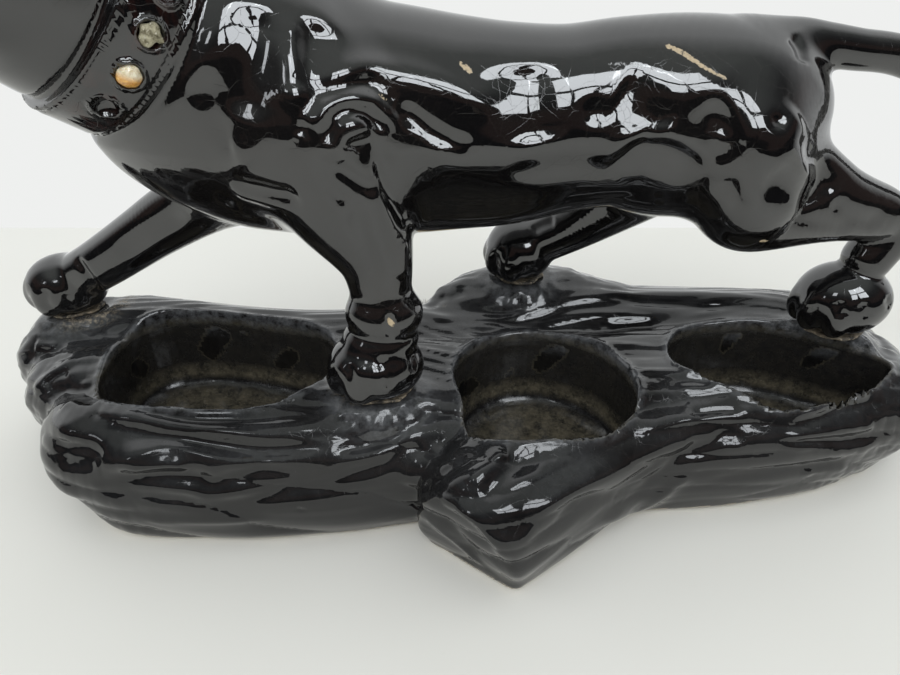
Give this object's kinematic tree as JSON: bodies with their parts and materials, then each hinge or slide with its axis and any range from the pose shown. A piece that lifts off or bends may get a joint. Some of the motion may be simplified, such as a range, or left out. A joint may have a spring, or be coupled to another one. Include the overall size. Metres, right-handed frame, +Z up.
{
  "type": "panther television lamp",
  "caption": "Gloss black ceramic panther striding on a hollow log with planter pockets, a bracketed lamp socket with a tubular lamp behind it, and a cord with switch and plug.",
  "frame": {"origin": "centre of the bounding box in plan, on the plane of the felt pads", "axes": "+Z up, +X along the log from the panther's head end to its tail end, +Y from the front of the log to its back"},
  "size_m": [0.4809, 0.2183, 0.245],
  "materials": {
    "black_glaze": "gloss",
    "log_glaze": "gloss, dusty on top",
    "bare_clay": "matt",
    "amber_stone": "polished",
    "eye_glass": "polished",
    "felt": "matt",
    "plated_steel": "satin",
    "brass": "satin",
    "fibre": "matt",
    "phenolic": "gloss",
    "brown_cord": "satin",
    "lamp_glass": "clear",
    "tungsten": "dull"
  },
  "bodies": {
    "base": {"log_planter_base": "log_glaze", "panther_figure": "black_glaze", "collar_stone": "amber_stone", "eye_left": "eye_glass", "eye_right": "eye_glass", "paw_bond_front_left": "bare_clay", "paw_bond_front_right": "bare_clay", "paw_bond_rear_left": "bare_clay", "paw_bond_rear_right": "bare_clay", "felt_pad_front_left": "felt", "felt_pad_rear_left": "felt", "felt_pad_front_right": "felt", "felt_pad_rear_right": "felt", "socket_bracket": "plated_steel", "bracket_bolt": "plated_steel", "bracket_washer": "plated_steel", "cushion_washer": "fibre", "bracket_nut": "plated_steel", "threaded_nipple": "brass", "nipple_locknut_outer": "plated_steel", "nipple_locknut_inner": "plated_steel", "cord_bushing": "phenolic", "socket_cap": "brass", "socket_shell": "brass", "socket_liner": "fibre", "socket_body": "phenolic", "socket_screw_shell": "brass", "socket_centre_contact": "brass", "terminal_screw_brass": "brass", "terminal_screw_silver": "plated_steel", "cord_socket_to_switch": "brown_cord", "cord_switch_to_plug": "brown_cord", "switch_housing_bottom": "phenolic", "switch_housing_top": "phenolic", "switch_spindle": "plated_steel", "switch_contact_in": "brass", "switch_contact_out": "brass", "switch_screw": "plated_steel", "switch_nut": "plated_steel", "plug_body": "phenolic", "plug_insulating_disc": "fibre", "plug_blade_left": "brass", "plug_blade_right": "brass"},
    "lamp_tip": {"lamp_tip_contact": "brass"},
    "lamp": {"lamp_base_insulator": "phenolic", "lamp_base_shell": "brass", "lamp_glass": "lamp_glass", "lamp_stem": "lamp_glass", "lamp_filament": "tungsten"},
    "switch_rotor": {"switch_wheel": "phenolic", "switch_rotor_contact": "brass"}
  },
  "joints": [
    {"name": "bulb_withdraw", "type": "slide", "parent": "base", "child": "lamp_tip", "axis": [1, 0, 0], "range_m": [0, 0.0109]},
    {"name": "bulb_turn", "type": "hinge", "parent": "lamp_tip", "child": "lamp", "pos_m": [-0.00482, 0.0667, 0.0186], "axis": [1, 0, 0], "range_deg": [0, 1080]},
    {"name": "switch_turn", "type": "hinge", "parent": "base", "child": "switch_rotor", "pos_m": [-0.13282, 0.0569, 0.0106], "axis": [0, 0, 1], "continuous": true}
  ],
  "couplings": [
    {"joint": "bulb_withdraw", "follows": "bulb_turn", "m_per_rad": 0.00057774}
  ]
}
